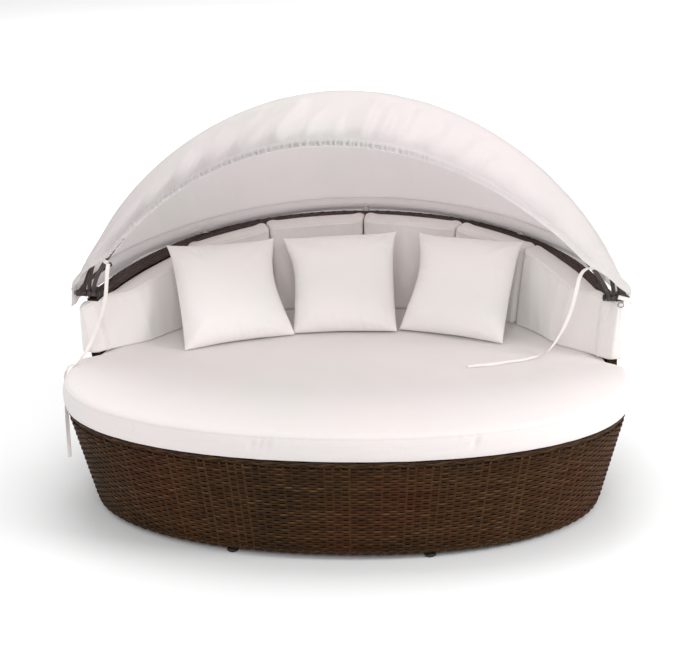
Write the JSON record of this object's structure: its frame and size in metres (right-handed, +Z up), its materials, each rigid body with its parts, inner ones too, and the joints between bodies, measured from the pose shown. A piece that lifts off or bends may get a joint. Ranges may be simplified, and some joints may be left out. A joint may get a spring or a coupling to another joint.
{
  "type": "outdoor daybed with canopy",
  "caption": "Oval woven garden daybed with a curved cushioned backrest, throw pillows and a folding fabric canopy carried on hinged bows.",
  "frame": {"origin": "on the floor, under the middle of the outer box of the daybed without its cloth ties", "axes": "+X along the long side of the oval, towards the right-hand side of the picture; -Y towards the open front; +Z up"},
  "size_m": [1.9328, 1.3783, 1.332],
  "materials": {
    "wicker": "satin",
    "wicker_border": "satin",
    "deck_board": "matte",
    "frame_tube": "satin",
    "bow_tube": "satin",
    "foot_plastic": "matte",
    "dark_bracket": "satin",
    "clip_plastic": "satin",
    "bolt_steel": "satin",
    "knob_plastic": "satin",
    "ring_steel": "satin",
    "canopy_cloth": "matte",
    "tape": "matte",
    "cushion_fabric": "matte"
  },
  "bodies": {
    "root": {"base_seat_rail": "frame_tube", "base_floor_rail": "frame_tube", "base_upright_rear_left": "frame_tube", "base_upright_rear_right": "frame_tube", "base_upright_front_right": "frame_tube", "base_upright_front_left": "frame_tube", "base_cross_bar_left": "frame_tube", "base_cross_bar_middle": "frame_tube", "base_cross_bar_right": "frame_tube", "base_wicker": "wicker", "base_rim_border": "wicker_border", "base_foot_border": "wicker_border", "seat_deck": "deck_board", "foot_front_left": "foot_plastic", "foot_front_right": "foot_plastic", "foot_side_left": "foot_plastic", "foot_side_right": "foot_plastic", "foot_rear_left": "foot_plastic", "foot_rear_right": "foot_plastic", "back_frame": "frame_tube", "back_wicker_outer": "wicker", "back_wicker_inner": "wicker", "back_rim_wrap": "wicker_border", "arm_end_left": "wicker_border", "arm_end_right": "wicker_border", "pivot_bracket_left": "dark_bracket", "pivot_bolt_left": "bolt_steel", "pivot_washer_left": "bolt_steel", "pivot_knob_left": "knob_plastic", "pivot_bracket_right": "dark_bracket", "pivot_bolt_right": "bolt_steel", "pivot_washer_right": "bolt_steel", "pivot_knob_right": "knob_plastic", "canopy_bow_rear": "bow_tube", "rear_clip_centre": "clip_plastic", "rear_clip_left": "clip_plastic", "rear_clip_right": "clip_plastic", "seat_cushion": "cushion_fabric", "arm_cushion_left": "cushion_fabric", "arm_cushion_right": "cushion_fabric", "back_cushion_outer_left": "cushion_fabric", "back_cushion_inner_left": "cushion_fabric", "back_cushion_inner_right": "cushion_fabric", "back_cushion_outer_right": "cushion_fabric", "strap_left": "tape", "strap_ring_left": "ring_steel"},
    "bow_mid_rear": {"canopy_bow_mid_rear": "bow_tube", "canopy_panel_rear": "canopy_cloth"},
    "bow_mid_front": {"canopy_bow_mid_front": "bow_tube", "canopy_panel_middle": "canopy_cloth"},
    "bow_front": {"canopy_bow_front": "bow_tube", "canopy_panel_front": "canopy_cloth", "canopy_hem": "canopy_cloth", "tie_loop_left": "tape", "tie_loop_right": "tape", "tie_left": "tape", "tie_right": "tape"},
    "pillow_left_body": {"pillow_left": "cushion_fabric"},
    "pillow_middle_body": {"pillow_middle": "cushion_fabric"},
    "pillow_right_body": {"pillow_right": "cushion_fabric"}
  },
  "joints": [
    {"name": "bow_front_fold", "type": "hinge", "parent": "root", "child": "bow_front", "pos_m": [0, 0.0088, 0.648], "axis": [-1, 0, 0], "range_deg": [0, 94.2], "deforming": ["canopy_panel_front", "canopy_hem", "tie_left", "tie_right"]},
    {"name": "bow_mid_front_fold", "type": "hinge", "parent": "root", "child": "bow_mid_front", "pos_m": [0, 0.0088, 0.648], "axis": [-1, 0, 0], "range_deg": [0, 65], "deforming": ["canopy_panel_middle"]},
    {"name": "bow_mid_rear_fold", "type": "hinge", "parent": "root", "child": "bow_mid_rear", "pos_m": [0, 0.0088, 0.648], "axis": [-1, 0, 0], "range_deg": [0, 32.5], "deforming": ["canopy_panel_rear"]},
    {"name": "pillow_left_lift", "type": "slide", "parent": "root", "child": "pillow_left_body", "axis": [0, -0.5, 0.866], "range_m": [0, 0.25]},
    {"name": "pillow_middle_lift", "type": "slide", "parent": "root", "child": "pillow_middle_body", "axis": [0, -0.5, 0.866], "range_m": [0, 0.25]},
    {"name": "pillow_right_lift", "type": "slide", "parent": "root", "child": "pillow_right_body", "axis": [0, -0.5, 0.866], "range_m": [0, 0.25]}
  ],
  "couplings": [
    {"joint": "bow_mid_front_fold", "follows": "bow_front_fold", "ratio": 0.69},
    {"joint": "bow_mid_rear_fold", "follows": "bow_front_fold", "ratio": 0.345}
  ]
}
